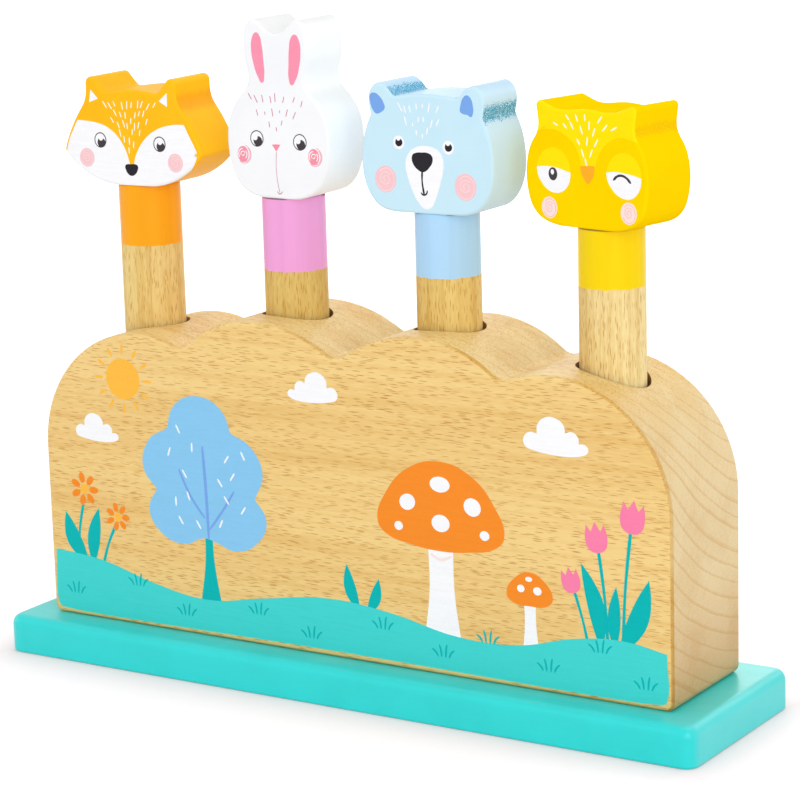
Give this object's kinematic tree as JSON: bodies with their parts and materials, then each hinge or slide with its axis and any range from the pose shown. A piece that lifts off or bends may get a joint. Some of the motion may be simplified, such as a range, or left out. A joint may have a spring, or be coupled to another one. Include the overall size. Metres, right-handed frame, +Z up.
{
  "type": "pop up animal toy",
  "caption": "Wooden pop up toy: animal heads on sprung pegs that push down into the bores of a hill shaped block on a base board, turn, and rise again.",
  "frame": {"origin": "middle of the base board's underside, on the surface the toy stands on", "axes": "+X along the row of pegs, fox end to owl end; the faces look towards -Y; +Z up along the pegs"},
  "size_m": [0.3032, 0.0798, 0.251],
  "materials": {
    "board_turquoise": "satin turquoise paint",
    "beech": "clear matt varnish on beech",
    "screw_steel": "zinc plated",
    "dowel_beech": "plain beech",
    "spring_steel": "bright drawn wire",
    "head_orange": "satin orange paint, white and pink face",
    "peg_orange": "varnished beech, upper end painted orange",
    "head_white": "satin white paint, pink ears and cheeks",
    "peg_pink": "varnished beech, upper end painted pink",
    "head_blue": "satin pale blue paint, white muzzle",
    "peg_blue": "varnished beech, upper end painted pale blue",
    "head_yellow": "satin yellow paint, white eyes",
    "peg_yellow": "varnished beech, upper end painted yellow"
  },
  "bodies": {
    "block": {"base_board": "board_turquoise", "hill_block": "beech", "base_screws": "screw_steel", "spring_fox": "spring_steel", "spring_rabbit": "spring_steel", "spring_bear": "spring_steel", "spring_owl": "spring_steel"},
    "fox_washer": {"spring_washer_fox": "spring_steel"},
    "fox_peg": {"peg_fox": "peg_orange", "head_fox": "head_orange", "neck_pin_fox": "dowel_beech", "stop_disc_fox": "dowel_beech", "stop_screw_fox": "screw_steel"},
    "rabbit_washer": {"spring_washer_rabbit": "spring_steel"},
    "rabbit_peg": {"peg_rabbit": "peg_pink", "head_rabbit": "head_white", "neck_pin_rabbit": "dowel_beech", "stop_disc_rabbit": "dowel_beech", "stop_screw_rabbit": "screw_steel"},
    "bear_washer": {"spring_washer_bear": "spring_steel"},
    "bear_peg": {"peg_bear": "peg_blue", "head_bear": "head_blue", "neck_pin_bear": "dowel_beech", "stop_disc_bear": "dowel_beech", "stop_screw_bear": "screw_steel"},
    "owl_washer": {"spring_washer_owl": "spring_steel"},
    "owl_peg": {"peg_owl": "peg_yellow", "head_owl": "head_yellow", "neck_pin_owl": "dowel_beech", "stop_disc_owl": "dowel_beech", "stop_screw_owl": "screw_steel"}
  },
  "joints": [
    {"name": "fox_press", "type": "slide", "parent": "block", "child": "fox_washer", "axis": [0, 0, 1], "range_m": [-0.04, 0], "stiffness_N_per_m": 200, "springref_m": 0.015, "deforming": ["spring_fox"]},
    {"name": "fox_turn", "type": "hinge", "parent": "fox_washer", "child": "fox_peg", "pos_m": [-0.1011, 0, 0.098], "axis": [0, 0, 1], "continuous": true},
    {"name": "rabbit_press", "type": "slide", "parent": "block", "child": "rabbit_washer", "axis": [0, 0, 1], "range_m": [-0.04, 0], "stiffness_N_per_m": 200, "springref_m": 0.015, "deforming": ["spring_rabbit"]},
    {"name": "rabbit_turn", "type": "hinge", "parent": "rabbit_washer", "child": "rabbit_peg", "pos_m": [-0.0337, 0, 0.098], "axis": [0, 0, 1], "continuous": true},
    {"name": "bear_press", "type": "slide", "parent": "block", "child": "bear_washer", "axis": [0, 0, 1], "range_m": [-0.04, 0], "stiffness_N_per_m": 200, "springref_m": 0.015, "deforming": ["spring_bear"]},
    {"name": "bear_turn", "type": "hinge", "parent": "bear_washer", "child": "bear_peg", "pos_m": [0.0337, 0, 0.098], "axis": [0, 0, 1], "continuous": true},
    {"name": "owl_press", "type": "slide", "parent": "block", "child": "owl_washer", "axis": [0, 0, 1], "range_m": [-0.04, 0], "stiffness_N_per_m": 200, "springref_m": 0.015, "deforming": ["spring_owl"]},
    {"name": "owl_turn", "type": "hinge", "parent": "owl_washer", "child": "owl_peg", "pos_m": [0.1011, 0, 0.098], "axis": [0, 0, 1], "continuous": true}
  ]
}
